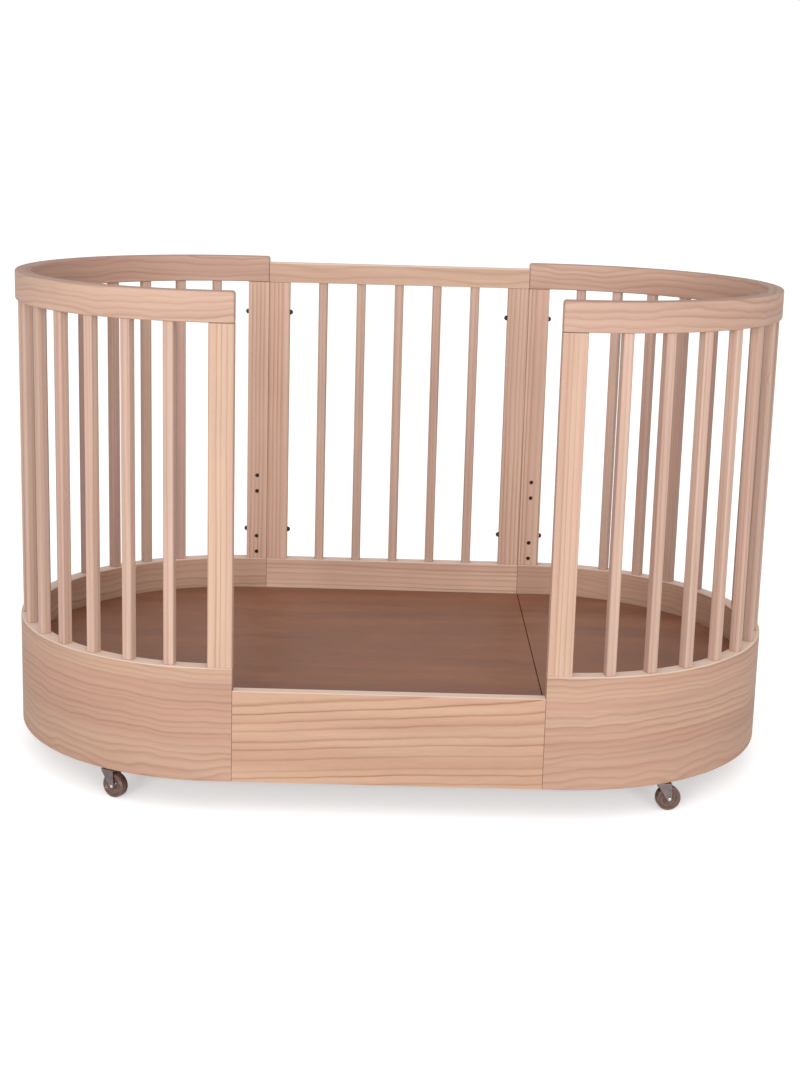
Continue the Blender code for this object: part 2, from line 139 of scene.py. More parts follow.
class CotHardware(PropertyGroup):
    """Colours and sizes of the metal and plastic pieces."""
    steel: colour_setting("Plated steel", "Colour of the caster plates", (0.235, 0.190, 0.190))
    dark_steel: colour_setting("Dark steel", "Colour of the nuts and inserts", (0.060, 0.036, 0.028))
    bright_steel: colour_setting("Bright steel", "Colour of the axle heads", (0.830, 0.800, 0.790))
    wheel: colour_setting("Wheel", "Colour of the smoky wheels", (0.082, 0.046, 0.035))
    nut_radius: length_setting("Nut radius", "Radius of the knurled nuts", 0.0046)
    nut_height: length_setting("Nut height", "How far a nut stands off its washer", 0.0030)
    washer_radius: length_setting("Washer radius", "Radius of the washers", 0.0058)


class CotStage(PropertyGroup):
    """Floor, lights and camera."""
    floor: colour_setting("Floor", "Colour of the floor", (0.985, 0.985, 0.985))
    floor_glow: FloatProperty(
        name="Floor glow", description="How much whiter the floor looks than its light makes it",
        default=0.42)
    key_power: FloatProperty(
        name="Key light", description="Power of the main light", default=350.0, unit="POWER")
    fill_power: FloatProperty(
        name="Fill light", description="Power of the second light", default=300.0, unit="POWER")
    sky: FloatProperty(name="Surround", description="Strength of the light from all round", default=0.70)
    lens: FloatProperty(name="Lens", description="Focal length", default=58.70, subtype="DISTANCE_CAMERA")
    pitch: FloatProperty(name="Pitch", description="Tilt of the camera below level", default=math.radians(12.15),
                         subtype="ANGLE", unit="ROTATION")
    yaw: FloatProperty(name="Yaw", description="Turn of the camera to the right", default=math.radians(0.28),
                       subtype="ANGLE", unit="ROTATION")
    roll: FloatProperty(name="Roll", description="Lean of the camera", default=math.radians(1.57),
                        subtype="ANGLE", unit="ROTATION")
    eye: FloatVectorProperty(name="Eye", description="Place of the camera", default=(-0.0041, -3.0551, 1.1052),
                             size=3, subtype="TRANSLATION", unit="LENGTH")
    shift: FloatProperty(name="Shift", description="Upward shift of the frame", default=-0.031)


# ------------------------------------------------------------- node helpers

class NodeBench:
    """Adds nodes to one node tree, left to right, and joins them."""

    def __init__(self, tree):
        self.tree = tree
        self.count = 0

    def add(self, kind, inputs=None, **settings):
        node = self.tree.nodes.new(kind)
        node.location = (180 * (self.count % 12), -260 * (self.count // 12))
        self.count += 1
        for key, value in settings.items():
            setattr(node, key, value)
        for key, value in (inputs or {}).items():
            socket = node.inputs[key]
            if isinstance(value, bpy.types.NodeSocket):
                self.tree.links.new(value, socket)
            else:
                socket.default_value = value
        return node

    def math(self, operation, *values):
        return self.add("ShaderNodeMath", dict(enumerate(values)), operation=operation).outputs[0]

    def vector(self, x, y, z):
        return self.add("ShaderNodeCombineXYZ", {"X": x, "Y": y, "Z": z}).outputs[0]

    def noise(self, place, scale=1.0, detail=2.0, roughness=0.5):
        return self.add(
            "ShaderNodeTexNoise",
            {"Vector": place, "Scale": scale, "Detail": detail, "Roughness": roughness})

    def blend(self, share, first, second, blend_type="MIX"):
        node = self.add("ShaderNodeMix", data_type="RGBA", blend_type=blend_type)
        for index, value in ((0, share), (6, first), (7, second)):
            if isinstance(value, bpy.types.NodeSocket):
                self.tree.links.new(value, node.inputs[index])
            else:
                node.inputs[index].default_value = value
        return node.outputs[2]

    def stretch(self, value, low, high, new_low=0.0, new_high=1.0, smooth=True):
        return self.add(
            "ShaderNodeMapRange",
            {"Value": value, "From Min": low, "From Max": high, "To Min": new_low, "To Max": new_high},
            interpolation_type="SMOOTHSTEP" if smooth else "LINEAR").outputs["Result"]

    def steps(self, value, stops):
        node = self.add("ShaderNodeValToRGB", {"Fac": value})
        ramp = node.color_ramp
        while len(ramp.elements) < len(stops):
            ramp.elements.new(0.5)
        for element, (position, shade) in zip(ramp.elements, stops):
            element.position = position
            element.color = (shade, shade, shade, 1.0)
        return node.outputs["Color"]


def new_group(name, inputs, outputs):
    """An empty shader group; inputs and outputs are (name, socket kind) pairs."""
    group = bpy.data.node_groups.new(name, "ShaderNodeTree")
    for label, kind in inputs:
        group.interface.new_socket(label, in_out="INPUT", socket_type="NodeSocket" + kind)
    for label, kind in outputs:
        group.interface.new_socket(label, in_out="OUTPUT", socket_type="NodeSocket" + kind)
    bench = NodeBench(group)
    return group, bench, bench.add("NodeGroupInput").outputs


# How fine each pattern in the wood is, along and across the grain, per metre.
FADE_FINENESS = (3.1, 26.0)
FIBRE_FINENESS = (11.0, 620.0)
PORE_FINENESS = (70.0, 2300.0)
TONE_FINENESS = (1.9, 17.0)
FLUSH_FINENESS = (0.8, 42.0)
WAVE_ACROSS = 5.0
KNOTS_PER_METRE = 6.5
# Share of the painted highlight colour on the top edges.
PAINTED_HIGHLIGHT_SHARE = 0.85
# Darkness through one year, from the end of the last line to the next.
YEAR_PROFILE = ((0.0, 0.38), (0.06, 0.08), (0.36, 0.05), (0.66, 0.32), (0.88, 1.0), (1.0, 0.38))


def pine_group():
    """Year lines, fibres, blush and knots of pine, in the wood's own place.

    The place is (along the grain, across, deep), measured from the tree's heart.
    """
    if "pine_wood" in bpy.data.node_groups:
        return bpy.data.node_groups["pine_wood"]
    group, bench, given = new_group(
        "pine_wood",
        (("Place", "Vector"), ("Early", "Color"), ("Late", "Color"), ("Blush", "Color"),
         ("Knot", "Color"), ("Ring Width", "Float"), ("Waviness", "Float"),
         ("Wave Length", "Float"), ("Line Strength", "Float"), ("Line Sharpness", "Float"),
         ("Knot Radius", "Float"), ("Roughness", "Float"), ("Painted Highlight", "Color"), ("Edge", "Float")),
        (("Color", "Color"), ("Roughness", "Float"), ("Height", "Float")))
    split = bench.add("ShaderNodeSeparateXYZ", {0: given["Place"]}).outputs
    along, across, deep = split[0], split[1], split[2]

    def grained(along_scale, across_scale):
        """The place, stretched by one scale along the grain and another across it."""
        return bench.vector(
            bench.math("MULTIPLY", along, along_scale), bench.math("MULTIPLY", across, across_scale),
            bench.math("MULTIPLY", deep, across_scale))

    cells = bench.add(
        "ShaderNodeTexVoronoi", {"Vector": given["Place"], "Scale": KNOTS_PER_METRE}, feature="F1")
    knot_distance = bench.math("DIVIDE", cells.outputs["Distance"], KNOTS_PER_METRE)
    knot_reach = bench.math("DIVIDE", knot_distance, bench.math("ADD", given["Knot Radius"], MERGE))
    near_knot = bench.stretch(knot_reach, 4.5, 0.6)
    knot = bench.stretch(knot_reach, 1.15, 0.55)

    slow = bench.vector(
        bench.math("DIVIDE", along, given["Wave Length"]),
        bench.math("MULTIPLY", across, WAVE_ACROSS), bench.math("MULTIPLY", deep, WAVE_ACROSS))
    wander = bench.add(
        "ShaderNodeSeparateColor", {0: bench.noise(slow, detail=3.0, roughness=0.47).outputs["Color"]}).outputs
    sway = bench.math("MULTIPLY", bench.math("SUBTRACT", wander[0], 0.5), given["Waviness"])
    lift = bench.math("MULTIPLY", bench.math("SUBTRACT", wander[1], 0.5), given["Waviness"])
    swell = bench.math("MULTIPLY", near_knot, bench.math("MULTIPLY", given["Knot Radius"], 1.6))
    radius = bench.add(
        "ShaderNodeVectorMath",
        {0: bench.vector(0.0, bench.math("ADD", across, sway), bench.math("ADD", deep, lift))},
        operation="LENGTH").outputs["Value"]
    age = bench.math("DIVIDE", bench.math("ADD", radius, swell), given["Ring Width"])
    uneven = bench.noise(bench.vector(bench.math("MULTIPLY", age, 0.45), 3.0, 0.0), detail=1.0).outputs[0]
    age = bench.math("ADD", age, bench.math("MULTIPLY", uneven, 1.7))
    year = bench.math("FRACT", age)
    vigour = bench.add(
        "ShaderNodeTexWhiteNoise", {"W": bench.math("FLOOR", age)}, noise_dimensions="1D").outputs["Value"]
    line = bench.steps(year, YEAR_PROFILE)
    fade = bench.noise(grained(*FADE_FINENESS), detail=1.0).outputs[0]
    line = bench.math("POWER", line, given["Line Sharpness"])
    late = bench.math("MULTIPLY", line, bench.stretch(vigour, 0.0, 1.0, 0.40, 1.0, smooth=False))
    late = bench.math("MULTIPLY", late, bench.stretch(fade, 0.25, 0.75, 0.55, 1.15))
    late = bench.math("MULTIPLY", late, given["Line Strength"])

    fibre = bench.noise(grained(*FIBRE_FINENESS), detail=2.0, roughness=0.6).outputs[0]
    pore = bench.noise(grained(*PORE_FINENESS), detail=1.0).outputs[0]
    tone = bench.noise(grained(*TONE_FINENESS), detail=2.0).outputs[0]
    flush = bench.noise(grained(*FLUSH_FINENESS), detail=2.0).outputs[0]

    colour = bench.blend(bench.stretch(flush, 0.35, 0.68), given["Early"], given["Blush"])
    colour = bench.blend(late, colour, given["Late"])
    colour = bench.blend(knot, colour, given["Knot"])
    shade = bench.math("ADD", bench.stretch(fibre, 0.25, 0.75, -0.055, 0.055, smooth=False),
                       bench.stretch(tone, 0.25, 0.75, -0.07, 0.07))
    shade = bench.math("ADD", shade, bench.stretch(pore, 0.3, 0.7, -0.03, 0.03, smooth=False))
    shade = bench.math("ADD", shade, 1.0)
    colour = bench.blend(1.0, colour, bench.vector(shade, shade, shade), "MULTIPLY")

    # Painted highlight: the top edges are painted lighter, where light catches them.
    colour = bench.blend(bench.math("MULTIPLY", given["Edge"], PAINTED_HIGHLIGHT_SHARE), colour, given["Painted Highlight"])

    rough = bench.math("ADD", given["Roughness"], bench.stretch(fibre, 0.2, 0.8, -0.07, 0.07, smooth=False))
    rough = bench.math("SUBTRACT", rough, bench.math("MULTIPLY", late, 0.10))
    height = bench.math("ADD", bench.math("MULTIPLY", late, 0.7), bench.math("MULTIPLY", fibre, 0.6))
    height = bench.math("ADD", height, bench.math("MULTIPLY", pore, 0.5))
    bench.add("NodeGroupOutput", {"Color": colour, "Roughness": rough, "Height": height})
    return group


def mottle_group():
    """Fine uneven tone for steel, plastic, hardboard and the floor."""
    if "fine_mottle" in bpy.data.node_groups:
        return bpy.data.node_groups["fine_mottle"]
    group, bench, given = new_group(
        "fine_mottle",
        (("Place", "Vector"), ("Low", "Color"), ("High", "Color"), ("Scale", "Float"),
         ("Roughness", "Float"), ("Spread", "Float")),
        (("Color", "Color"), ("Roughness", "Float"), ("Height", "Float")))
    broad = bench.noise(given["Place"], given["Scale"], 4.0, 0.6).outputs[0]
    fine = bench.noise(given["Place"], bench.math("MULTIPLY", given["Scale"], 11.0), 2.0, 0.5).outputs[0]
    both = bench.math("ADD", bench.math("MULTIPLY", broad, 0.65), bench.math("MULTIPLY", fine, 0.35))
    share = bench.stretch(both, 0.30, 0.70)
    colour = bench.blend(share, given["Low"], given["High"])
    centred = bench.math("SUBTRACT", share, 0.5)
    rough = bench.math("ADD", given["Roughness"], bench.math("MULTIPLY", centred, given["Spread"]))
    bench.add("NodeGroupOutput", {"Color": colour, "Roughness": rough, "Height": both})
    return group


def finish_made(name):
    """The finish made earlier under a name, or None; the frame's own materials are refused."""
    material = bpy.data.materials.get(name)
    if material is None:
        return None
    if not any(node.type == "GROUP" for node in material.node_tree.nodes):
        raise RuntimeError("the name %s belongs to one of the frame's plain materials" % name)
    return material


def new_finish(name):
    """A material with only its Principled shader; returns it with a node bench."""
    material = bpy.data.materials.new(name)
    material.use_nodes = True
    shader = material.node_tree.nodes["Principled BSDF"]
    return material, NodeBench(material.node_tree), shader


def wire_finish(bench, shader, group_node, bump_strength, bump_distance):
    links = bench.tree.links
    bump = bench.add(
        "ShaderNodeBump",
        {"Height": group_node.outputs["Height"], "Strength": bump_strength, "Distance": bump_distance})
    links.new(group_node.outputs["Color"], shader.inputs["Base Color"])
    links.new(group_node.outputs["Roughness"], shader.inputs["Roughness"])
    links.new(bump.outputs["Normal"], shader.inputs["Normal"])


# ------------------------------------------------------------------ finishes

# Each cut of pine: ring width, waviness, wave length, line strength, line
# sharpness, knot radius (lengths in metres) and a tint on the wood's colours.
# The tints of pine_post, pine_rear_post and pine_low_panel are partly painted light:
# the front posts are painted darker and the rear posts, stiles and rear bottom rail
# lighter, to even out how the light falls from front to back.
PINE_CUTS = {
    # Darker tint: partly painted shade, against the stronger light on the front posts.
    "pine_post": (0.0058, 0.007, 0.60, 0.85, 1.4, 0.0, (0.91, 0.91, 0.88)),
    # Lighter tint: partly painted light, against the shade on the rear posts and stiles.
    "pine_rear_post": (0.0086, 0.012, 0.50, 0.80, 0.8, 0.0, (1.04, 1.06, 1.06)),
    "pine_slat": (0.0058, 0.009, 0.55, 0.50, 1.2, 0.0042, (0.91, 0.93, 0.97)),
    "pine_rail": (0.0105, 0.045, 0.20, 0.60, 0.8, 0.0, (0.89, 0.87, 0.87)),
    "pine_skirt": (0.0094, 0.040, 0.18, 0.66, 0.8, 0.0, (0.80, 0.755, 0.71)),
    "pine_front": (0.0145, 0.015, 0.22, 1.00, 2.0, 0.0, (0.84, 0.79, 0.70)),
    "pine_panel": (0.0080, 0.022, 0.30, 0.75, 1.2, 0.0, (0.94, 0.93, 0.89)),
    # Lighter tint: partly painted light, against the shade inside the rear of the cot.
    "pine_low_panel": (0.0048, 0.008, 0.40, 0.80, 1.0, 0.0, (1.01, 1.02, 1.00)),
    "pine_beam": (0.0052, 0.012, 0.50, 0.60, 1.0, 0.0060, (0.92, 0.90, 0.88)),
}


def tinted(colour, tint):
    return tuple(channel * share for channel, share in zip(colour, tint)) + (1.0,)


def pine_finish(name):
    made = finish_made(name)
    if made is not None:
        return made
    pine = bpy.context.scene.cot_pine
    ring, waviness, wave_length, strength, sharpness, knot_radius, tint = PINE_CUTS[name]
    material, bench, shader = new_finish(name)
    place = bench.add("ShaderNodeAttribute", attribute_name="grain", attribute_type="GEOMETRY")
    wood = bench.add("ShaderNodeGroup", node_tree=pine_group())
    values = {
        "Early": tinted(pine.early, tint), "Late": tinted(pine.late, tint),
        "Blush": tinted(pine.blush, tint), "Knot": (*pine.knot, 1.0), "Ring Width": ring,
        "Waviness": waviness, "Wave Length": wave_length,
        "Line Strength": strength, "Line Sharpness": sharpness,
        "Knot Radius": knot_radius, "Roughness": pine.roughness, "Painted Highlight": (*pine.painted_highlight, 1.0)}
    for key, value in values.items():
        wood.inputs[key].default_value = value
    bench.tree.links.new(place.outputs["Vector"], wood.inputs["Place"])
    # Mask of the painted highlight on the top edges.
    edge = bench.add("ShaderNodeAttribute", attribute_name="painted_highlight", attribute_type="GEOMETRY")
    bench.tree.links.new(edge.outputs["Fac"], wood.inputs["Edge"])
    wire_finish(bench, shader, wood, 0.35, 0.0004)
    shader.inputs["Specular IOR Level"].default_value = 0.35
    return material


def mottled_finish(name, low, high, scale, roughness, spread, metallic=0.0, stretch=(1, 1, 1), bump=0.2):
    """A finish on Object coordinates, with the pattern stretched along an axis."""
    made = finish_made(name)
    if made is not None:
        return made
    material, bench, shader = new_finish(name)
    place = bench.add("ShaderNodeTexCoord").outputs["Object"]
    mapping = bench.add("ShaderNodeMapping", {"Vector": place, "Scale": stretch})
    mottle = bench.add("ShaderNodeGroup", node_tree=mottle_group())
    values = {
        "Low": (*low, 1.0), "High": (*high, 1.0), "Scale": scale, "Roughness": roughness, "Spread": spread}
    for key, value in values.items():
        mottle.inputs[key].default_value = value
    bench.tree.links.new(mapping.outputs["Vector"], mottle.inputs["Place"])
    wire_finish(bench, shader, mottle, bump, 0.0003)
    shader.inputs["Metallic"].default_value = metallic
    return material


def between(colour, share):
    return tuple(channel * share for channel in colour)


def hardboard_finish():
    return mottled_finish(
        "brown_hardboard", (0.205, 0.077, 0.038), (0.350, 0.150, 0.081), 7.0, 0.50, 0.20,
        stretch=(0.35, 2.2, 2.2), bump=0.25)


def steel_finish():
    steel = bpy.context.scene.cot_hardware.steel
    return mottled_finish(
        "plated_steel", between(steel, 0.72), between(steel, 1.15), 90.0, 0.38, 0.25, metallic=0.85)


def dark_steel_finish():
    steel = bpy.context.scene.cot_hardware.dark_steel
    return mottled_finish(
        "dark_steel", between(steel, 0.7), between(steel, 1.6), 160.0, 0.36, 0.2, metallic=0.9)


def bright_steel_finish():
    steel = bpy.context.scene.cot_hardware.bright_steel
    return mottled_finish(
        "bright_steel", between(steel, 0.85), between(steel, 1.08), 200.0, 0.18, 0.1, metallic=1.0)


def wheel_finish():
    """Smoky plastic with faint turned rings, in the wheel's own (radius, round, across)."""
    made = finish_made("smoky_wheel")
    if made is not None:
        return made
    wheel = bpy.context.scene.cot_hardware.wheel
    material, bench, shader = new_finish("smoky_wheel")
    place = bench.add("ShaderNodeAttribute", attribute_name="grain", attribute_type="GEOMETRY")
    mapping = bench.add("ShaderNodeMapping", {"Vector": place.outputs["Vector"], "Scale": (6.0, 0.8, 1.0)})
    mottle = bench.add("ShaderNodeGroup", node_tree=mottle_group())
    values = {
        "Low": (*between(wheel, 0.35), 1.0), "High": (*between(wheel, 2.2), 1.0), "Scale": 55.0,
        "Roughness": 0.22, "Spread": 0.16}
    for key, value in values.items():
        mottle.inputs[key].default_value = value
    bench.tree.links.new(mapping.outputs["Vector"], mottle.inputs["Place"])
    wire_finish(bench, shader, mottle, 0.15, 0.0002)
    shader.inputs["Coat Weight"].default_value = 0.25
    shader.inputs["Coat Roughness"].default_value = 0.08
    return material


# ------------------------------------------------------------- mesh helpers

def rounded_edges(bm, edges, radius, segments=3):
    bmesh.ops.bevel(
        bm, geom=edges, offset=radius, offset_type="OFFSET", affect="EDGES", segments=segments,
        profile=0.5, material=-1, clamp_overlap=True)


def sharp_edges(bm, degrees=30):
    limit = math.radians(degrees)
    return [e for e in bm.edges if len(e.link_faces) == 2 and e.calc_face_angle(0.0) > limit]


def new_verts(result):
    return [item for item in result["geom"] if isinstance(item, bmesh.types.BMVert)]


def block(bm, low, high):
    """A closed block between two corners."""
    low = Vector(low)
    high = Vector(high)
    verts = bmesh.ops.create_cube(bm, size=1.0)["verts"]
    bmesh.ops.scale(bm, vec=high - low, verts=verts)
    bmesh.ops.translate(bm, vec=(low + high) / 2, verts=verts)
    return verts


def rod(bm, start, axis, length, radius, sides=HOLE_SIDES):
    """A closed round rod from start along axis."""
    axis = Vector(axis)
    turn = axis.to_track_quat("Z", "Y").to_matrix().to_4x4()
    place = Matrix.Translation(Vector(start) + axis * length / 2) @ turn
    return bmesh.ops.create_cone(
        bm, cap_ends=True, segments=sides, radius1=radius, radius2=radius, depth=length,
        matrix=place)["verts"]


def drop_if_inside(bm, face):
    """Delete a face that walls stand on from both sides."""
    if face.is_valid and any(len(edge.link_faces) > 2 for edge in face.edges):
        bmesh.ops.delete(bm, geom=[face], context="FACES_ONLY")


def moved_face(bm, face, step):
    """Extrude one face by step and return the face at the far end."""
    grown = bmesh.ops.extrude_face_region(bm, geom=[face])["geom"]
    verts = [g for g in grown if isinstance(g, bmesh.types.BMVert)]
    bmesh.ops.translate(bm, vec=step, verts=verts)
    drop_if_inside(bm, face)
    return next(g for g in grown if isinstance(g, bmesh.types.BMFace))


def turned(bm, outline, steps, axis="Z"):
    """Spin an outline of (radius, height) points once round an axis through the origin."""
    verts = [bm.verts.new((radius, 0, height)) for radius, height in outline]
    edges = [bm.edges.new(pair) for pair in zip(verts, verts[1:])]
    bmesh.ops.spin(
        bm, geom=verts + edges, cent=(0, 0, 0), axis=(0, 0, 1), angle=2 * math.pi, steps=steps,
        use_merge=True)
    bmesh.ops.remove_doubles(bm, verts=bm.verts, dist=MERGE)
    if axis == "Y":
        bmesh.ops.rotate(
            bm, cent=(0, 0, 0), matrix=Matrix.Rotation(math.pi / 2, 3, "X"), verts=bm.verts)


def join_into(bm, made):
    """Add a finished bmesh to another and free it."""
    mesh = bpy.data.meshes.new("joined")
    made.to_mesh(mesh)
    made.free()
    bm.from_mesh(mesh)
    bpy.data.meshes.remove(mesh)


def both_sides(outline):
    """An outline of (radius, height) points followed by its mirror image below."""
    return list(outline) + [(radius, -height) for radius, height in reversed(outline)]


def drilled(bm, drills):
    """Cut the drills, a bmesh of closed rods, out of a bmesh; returns the new bmesh."""
    holders = []
    for name, source in (("work", bm), ("drill", drills)):
        bmesh.ops.recalc_face_normals(source, faces=source.faces)
        mesh = bpy.data.meshes.new(name)
        source.to_mesh(mesh)
        source.free()
        holder = bpy.data.objects.new(name, mesh)
        bpy.context.scene.collection.objects.link(holder)
        holders.append(holder)
    cut = holders[0].modifiers.new("drill", "BOOLEAN")
    cut.operation = "DIFFERENCE"
    cut.solver = "EXACT"
    cut.object = holders[1]
    graph = bpy.context.evaluated_depsgraph_get()
    result = bpy.data.meshes.new_from_object(holders[0].evaluated_get(graph))
    finished = bmesh.new()
    finished.from_mesh(result)
    for holder in holders:
        mesh = holder.data
        bpy.data.objects.remove(holder, do_unlink=True)
        bpy.data.meshes.remove(mesh)
    bpy.data.meshes.remove(result)
    return finished


def add_piece(name, bm, finish, body, node=None, grain=None, painted_highlight_top=None, crease=35):
    """Make a bmesh a piece that rides on a body, with its grain places stored.

    A top given as (height, radius) gets a painted highlight: its top edges are painted lighter.
    """
    bmesh.ops.recalc_face_normals(bm, faces=bm.faces)
    mesh = bpy.data.meshes.new(name)
    bm.to_mesh(mesh)
    bm.free()
    if grain is not None:
        layer = mesh.attributes.new("grain", "FLOAT_VECTOR", "POINT")
        for vert, entry in zip(mesh.vertices, layer.data):
            entry.vector = grain(vert.co)
    # Painted highlight mask: 1 at the top of the piece, fading to 0 one radius below it.
    if painted_highlight_top is not None:
        top, radius = painted_highlight_top
        layer = mesh.attributes.new("painted_highlight", "FLOAT", "POINT")
        for vert, entry in zip(mesh.vertices, layer.data):
            entry.value = min(max((vert.co.z - top) / radius + 1.0, 0.0), 1.0)
    mesh.shade_smooth()
    mesh.set_sharp_from_angle(angle=math.radians(crease))
    mesh.materials.append(finish)
    piece = bpy.data.objects.new(name, mesh)
    bpy.context.scene.collection.objects.link(piece)
    weigh = piece.modifiers.new("even_normals", "WEIGHTED_NORMAL")
    weigh.keep_sharp = True
    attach(piece, body)
    if node is not None:
        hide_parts(node)
    return piece


# -------------------------------------------------------------- wood places

def log_place(number, across, deep):
    """Where in the tree a piece was cut: far apart along it, and off its heart."""
    spread = (number * 0.618) % 1.0
    return Vector((LOG_STEP * number, across * (0.7 + 0.6 * spread), deep * (1.3 - 0.6 * spread)))


def upright_grain(centre, turn, start):
    """Grain up a post or slat that stands at centre, its face turned by an angle."""
    face = Vector((math.cos(turn), math.sin(turn), 0))
    outward = Vector((math.sin(turn), -math.cos(turn), 0))

    def place(co):
        step = co - centre
        return start + Vector((co.z, step.dot(face), step.dot(outward)))
    return place


def level_grain(start, rise=0.0, lean=0.0):
    """Grain along +X; rise and lean turn the board up and in from the tree's heart."""
    def place(co):
        return start + Vector((co.x, co.z + rise * co.x, lean * co.x - co.y))
    return place


def end_distance(co, side):
    """Distance round an end from its front seam, and how far outside the mid line."""
    x = side * co.x - END_CENTRE_X
    if x < 0:
        if co.y < 0:
            return x + END_STRAIGHT, -co.y - MID_RADIUS
        return END_STRAIGHT + math.pi * MID_RADIUS - x, co.y - MID_RADIUS
    angle = math.atan2(x, -co.y)
    return END_STRAIGHT + MID_RADIUS * angle, math.hypot(x, co.y) - MID_RADIUS


def bent_grain(side, start, rise=0.0):
    """Grain that follows a board bent round one end."""
    def place(co):
        along, outside = end_distance(co, side)
        return start + Vector((along, co.z + rise * along, outside))
    return place


# ----------------------------------------------------------------- end units

def end_bar(bottom, top, side):
    """Square stock bent round one end, from its front seam to its rear seam."""
    bm = bmesh.new()
    verts = bmesh.ops.create_grid(bm, x_segments=1, y_segments=1, size=0.5)["verts"]
    bmesh.ops.rotate(bm, cent=(0, 0, 0), matrix=Matrix.Rotation(math.pi / 2, 3, "Y"), verts=verts)
    bmesh.ops.scale(bm, vec=(1, STOCK, top - bottom), verts=verts)
    bmesh.ops.translate(bm, vec=(-END_STRAIGHT, -MID_RADIUS, (top + bottom) / 2), verts=verts)
    bm.faces.ensure_lookup_table()
    front = moved_face(bm, bm.faces[0], (END_STRAIGHT, 0, 0))
    swept = bmesh.ops.spin(
        bm, geom=[front], cent=(0, 0, 0), axis=(0, 0, 1), angle=math.pi, steps=ARC_STEPS)
    rear = next(g for g in swept["geom_last"] if isinstance(g, bmesh.types.BMFace))
    drop_if_inside(bm, front)
    moved_face(bm, rear, (-END_STRAIGHT, 0, 0))
    bmesh.ops.remove_doubles(bm, verts=bm.verts, dist=MERGE)
    bmesh.ops.recalc_face_normals(bm, faces=bm.faces)
    if side < 0:
        bmesh.ops.rotate(bm, cent=(0, 0, 0), matrix=Matrix.Rotation(math.pi, 3, "Z"), verts=bm.verts)
    bmesh.ops.translate(bm, vec=(side * END_CENTRE_X, 0, 0), verts=bm.verts)
    return bm


def edges_at(bm, height):
    return [e for e in sharp_edges(bm) if all(abs(v.co.z - height) < MERGE for v in e.verts)]


def build_end_rails(edges):
    for number, (name, side) in enumerate(SIDES):
        bm = end_bar(RAIL_LOW.z, RAIL_HIGH.z, side)
        across = [
            e for e in edges_at(bm, RAIL_HIGH.z)
            if abs(abs(e.verts[0].co.x) - SEAM_X) < MERGE and abs(abs(e.verts[1].co.x) - SEAM_X) < MERGE]
        rounded_edges(bm, across, edges.rail_end, 4)
        rounded_edges(bm, sharp_edges(bm), edges.rail)
        start = log_place(11 + 3 * number, -RAIL_LOW.z - 0.010 - 0.016 * number, 0.055)
        node = name + "_end_top_rail"
        add_piece(node + "_wood", bm, pine_finish("pine_rail"), "crib_frame", node,
                  bent_grain(side, start, 0.012))


def level_heights():
    """Middle height of each pair of sockets, lowest level first."""
    beam_low, beam_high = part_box("base_beam_left")
    lowest = (beam_low.z + beam_high.z) / 2
    return [lowest + level * BASE_STEP for level in range(BASE_LEVELS)]


def socket_pair(bm, x, face_y, direction, height, reach):
    """Two blind sockets, one over the other; direction is +1 or -1 along Y."""
    for offset in (-SOCKET_PAIR / 2, SOCKET_PAIR / 2):
        start = (x, face_y - direction * reach, height + offset)
        rod(bm, start, (0, direction, 0), SOCKET_DEPTH + reach, SOCKET_RADIUS)


def build_end_skirts(edges):
    for number, (name, side) in enumerate(SIDES):
        bm = end_bar(SKIRT_LOW.z, SKIRT_HIGH.z, side)
        rounded_edges(bm, edges_at(bm, SKIRT_HIGH.z), edges.skirt)
        ends = [e for e in sharp_edges(bm) if min(v.co.z for v in e.verts) < SKIRT_HIGH.z - edges.skirt * 1.5]
        rounded_edges(bm, ends, edges.seam, 2)
        drills = bmesh.new()
        for _row, row_side in ROWS:
            face_y = row_side * (END_RADIUS - STOCK)
            socket_pair(
                drills, side * (SEAM_X + POST_WIDTH / 2), face_y, row_side, level_heights()[0], DRILL_REACH)
        bm = drilled(bm, drills)
        start = log_place(21 + 4 * number, -SKIRT_LOW.z + 0.035, 0.060)
        node = name + "_end_skirt"
        add_piece(node + "_wood", bm, pine_finish("pine_skirt"), "crib_frame", node,
                  bent_grain(side, start, -0.010), (SKIRT_HIGH.z, edges.skirt))


# ------------------------------------------------------------------ uprights

def upright(centre, turn, width, depth, radius, segments):
    """A post or slat between the skirt and the rail, with rounded long edges."""
    bottom = SKIRT_HIGH.z + GAP
    top = RAIL_LOW.z - GAP
    bm = bmesh.new()
    block(bm, (-width / 2, -depth / 2, bottom), (width / 2, depth / 2, top))
    standing = [e for e in bm.edges if abs(e.verts[0].co.z - e.verts[1].co.z) > width]
    rounded_edges(bm, standing, radius, segments)
    rounded_edges(bm, sharp_edges(bm, 60), GAP, 1)
    place = Matrix.Translation((centre.x, centre.y, 0)) @ Matrix.Rotation(turn, 4, "Z")
    bmesh.ops.transform(bm, matrix=place, verts=bm.verts)
    return bm


def bolt_heights():
    return (SKIRT_HIGH.z + BOLT_INSET, RAIL_LOW.z - BOLT_INSET)


def bolt_drills(bm, centre):
    for height in bolt_heights():
        start = (centre.x - POST_WIDTH, centre.y, height)
        rod(bm, start, (1, 0, 0), 2 * POST_WIDTH, BOLT_HOLE_RADIUS)


def node_centre(node):
    low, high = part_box(node)
    return (low + high) / 2


